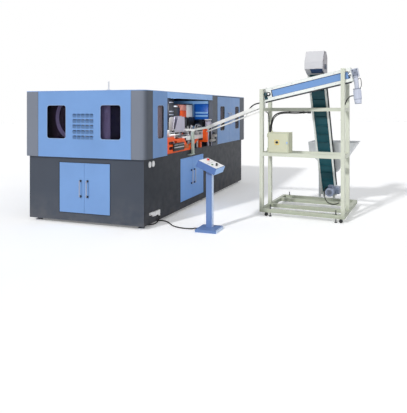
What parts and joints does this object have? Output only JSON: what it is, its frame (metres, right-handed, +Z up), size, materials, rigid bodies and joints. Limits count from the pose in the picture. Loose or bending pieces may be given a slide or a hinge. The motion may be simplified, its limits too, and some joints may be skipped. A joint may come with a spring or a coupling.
{
  "type": "blow moulding machine",
  "caption": "Linear stretch blow moulding machine with guarded housing, open infeed bay, operator console and elevator-fed preform loader.",
  "frame": {"origin": "on the floor under the centre of the levelling foot at the near front corner of the base", "axes": "+Z up, +Y along the machine from its front end, +X across it towards the infeed side, the console and the loader"},
  "size_m": [5.107, 4.646, 2.7087],
  "materials": {
    "blue_paint": "satin powder coat",
    "light_blue_paint": "satin powder coat",
    "slate_paint": "satin powder coat",
    "grey_paint": "satin powder coat",
    "orange_paint": "gloss paint",
    "cream_paint": "satin powder coat",
    "tank_paint": "gloss paint",
    "zinc": "zinc plated",
    "stainless": "brushed",
    "tool_steel": "ground",
    "motor_aluminium": "cast and painted silver",
    "white_plastic": "matt",
    "black_plastic": "matt",
    "green_plastic": "gloss",
    "red_plastic": "gloss",
    "belt": "matt",
    "black_rubber": "matt",
    "tinted_glass": "tinted"
  },
  "bodies": {
    "machine": {"base_cabinet": "slate_paint", "levelling_feet": "zinc", "housing_frame": "grey_paint", "closing_panels": "blue_paint", "corner_covers": "grey_paint", "front_panel": "blue_paint", "side_panel": "blue_paint", "bay_header": "light_blue_paint", "bay_pillar": "grey_paint", "window_panes": "tinted_glass", "signal_rod": "zinc", "cable_ports": "white_plastic", "oven_tunnel": "stainless", "preform_chain": "tool_steel", "clamp_frame": "tool_steel", "infeed_frame": "orange_paint", "infeed_table": "white_plastic", "infeed_guard": "stainless", "electrical_panel": "zinc", "air_tank": "tank_paint", "console_stand": "blue_paint", "console_head": "blue_paint", "console_panel": "white_plastic", "console_cable": "black_rubber", "loader_frame": "cream_paint", "loader_feet": "black_rubber", "elevator_frame": "cream_paint", "elevator_belt": "belt", "elevator_hood": "stainless", "drive_motors": "motor_aluminium", "hopper": "stainless", "trough": "cream_paint", "trough_panels": "blue_paint", "chute_rails": "stainless", "control_box": "cream_paint", "loader_cables": "black_rubber"},
    "front_door_left": {"front_door_left": "blue_paint"},
    "front_door_right": {"front_door_right": "blue_paint"},
    "side_door_left": {"side_door_left": "blue_paint"},
    "side_door_right": {"side_door_right": "blue_paint"},
    "guard_door_left": {"guard_door_left": "blue_paint", "guard_window_left": "tinted_glass"},
    "guard_door_right": {"guard_door_right": "blue_paint", "guard_window_right": "tinted_glass"},
    "chain_sprocket": {"chain_sprocket": "tool_steel"},
    "star_wheel": {"star_wheel": "white_plastic"},
    "mould_half_near": {"mould_half_near": "tool_steel"},
    "mould_half_far": {"mould_half_far": "tool_steel"},
    "stretch_rods": {"stretch_rods": "tool_steel"},
    "emergency_stop": {"emergency_stop": "red_plastic"},
    "start_button": {"start_button": "green_plastic"},
    "stop_button": {"stop_button": "black_plastic"},
    "mode_selector": {"mode_selector": "black_plastic"},
    "head_pulley": {"head_pulley": "tool_steel"},
    "tail_pulley": {"tail_pulley": "tool_steel"},
    "roller_left": {"roller_left": "tool_steel"},
    "roller_right": {"roller_right": "tool_steel"},
    "paddle_wheel": {"paddle_wheel": "black_rubber"},
    "control_box_door": {"control_box_door": "cream_paint"},
    "main_switch": {"main_switch": "black_plastic"}
  },
  "joints": [
    {"name": "front_door_left_hinge", "type": "hinge", "parent": "machine", "child": "front_door_left", "pos_m": [-1.375, -0.09, 0.563], "axis": [0, 0, -1], "range_deg": [0, 105]},
    {"name": "front_door_right_hinge", "type": "hinge", "parent": "machine", "child": "front_door_right", "pos_m": [-0.485, -0.09, 0.563], "axis": [0, 0, 1], "range_deg": [0, 105]},
    {"name": "side_door_left_hinge", "type": "hinge", "parent": "machine", "child": "side_door_left", "pos_m": [0.09, 1.104, 0.54], "axis": [0, 0, -1], "range_deg": [0, 105]},
    {"name": "side_door_right_hinge", "type": "hinge", "parent": "machine", "child": "side_door_right", "pos_m": [0.09, 2.066, 0.54], "axis": [0, 0, 1], "range_deg": [0, 105]},
    {"name": "guard_door_left_hinge", "type": "hinge", "parent": "machine", "child": "guard_door_left", "pos_m": [0.13, 2.729, 1.5], "axis": [0, 0, -1], "range_deg": [0, 105]},
    {"name": "guard_door_right_hinge", "type": "hinge", "parent": "machine", "child": "guard_door_right", "pos_m": [0.13, 4.136, 1.5], "axis": [0, 0, 1], "range_deg": [0, 105]},
    {"name": "sprocket_spin", "type": "hinge", "parent": "machine", "child": "chain_sprocket", "pos_m": [-0.92, 0.373, 1.3], "axis": [0, 0, 1], "continuous": true},
    {"name": "star_wheel_spin", "type": "hinge", "parent": "machine", "child": "star_wheel", "pos_m": [-0.528, 1.443, 1.36], "axis": [0, 0, 1], "continuous": true},
    {"name": "mould_near_slide", "type": "slide", "parent": "machine", "child": "mould_half_near", "axis": [-1, 0, 0], "range_m": [0, 0.12]},
    {"name": "mould_far_slide", "type": "slide", "parent": "machine", "child": "mould_half_far", "axis": [1, 0, 0], "range_m": [0, 0.12]},
    {"name": "stretch_rods_slide", "type": "slide", "parent": "machine", "child": "stretch_rods", "axis": [0, 0, -1], "range_m": [0, 0.2]},
    {"name": "emergency_stop_press", "type": "slide", "parent": "machine", "child": "emergency_stop", "axis": [-0.3811, 0, -0.9245], "range_m": [0, 0.004], "stiffness_N_per_m": 1500, "springref_m": -0.003},
    {"name": "start_button_press", "type": "slide", "parent": "machine", "child": "start_button", "axis": [-0.3811, 0, -0.9245], "range_m": [0, 0.004], "stiffness_N_per_m": 800, "springref_m": -0.003},
    {"name": "stop_button_press", "type": "slide", "parent": "machine", "child": "stop_button", "axis": [-0.3811, 0, -0.9245], "range_m": [0, 0.004], "stiffness_N_per_m": 800, "springref_m": -0.003},
    {"name": "mode_selector_turn", "type": "hinge", "parent": "machine", "child": "mode_selector", "pos_m": [1.07585, 0.302, 0.95145], "axis": [0.3811, 0, 0.9245], "range_deg": [-45, 45]},
    {"name": "head_pulley_spin", "type": "hinge", "parent": "machine", "child": "head_pulley", "pos_m": [2.36964, 1.45589, 2.4552], "axis": [0.9965, -0.0837, 0], "continuous": true},
    {"name": "tail_pulley_spin", "type": "hinge", "parent": "machine", "child": "tail_pulley", "pos_m": [2.45373, 2.45735, 0.3], "axis": [0.9965, -0.0837, 0], "continuous": true},
    {"name": "roller_left_spin", "type": "hinge", "parent": "machine", "child": "roller_left", "pos_m": [2.17563, 1.32214, 2.14868], "axis": [0.974, -0.0818, 0.2113], "continuous": true},
    {"name": "roller_right_spin", "type": "hinge", "parent": "machine", "child": "roller_right", "pos_m": [2.18182, 1.39588, 2.14868], "axis": [0.974, -0.0818, 0.2113], "continuous": true},
    {"name": "paddle_wheel_spin", "type": "hinge", "parent": "machine", "child": "paddle_wheel", "pos_m": [1.54584, 1.41216, 2.08605], "axis": [0.0837, 0.9965, 0], "continuous": true},
    {"name": "control_box_door_hinge", "type": "hinge", "parent": "machine", "child": "control_box_door", "pos_m": [1.5971, 1.25482, 1.219], "axis": [0, 0, -1], "range_deg": [0, 105]},
    {"name": "main_switch_turn", "type": "hinge", "parent": "control_box_door", "child": "main_switch", "pos_m": [1.76377, 1.23079, 1.22568], "axis": [0.0837, 0.9965, 0], "range_deg": [0, 90]}
  ],
  "couplings": [
    {"joint": "mould_far_slide", "follows": "mould_near_slide", "ratio": 1},
    {"joint": "star_wheel_spin", "follows": "sprocket_spin", "ratio": -1.1176},
    {"joint": "tail_pulley_spin", "follows": "head_pulley_spin", "ratio": 1},
    {"joint": "roller_right_spin", "follows": "roller_left_spin", "ratio": -1}
  ]
}
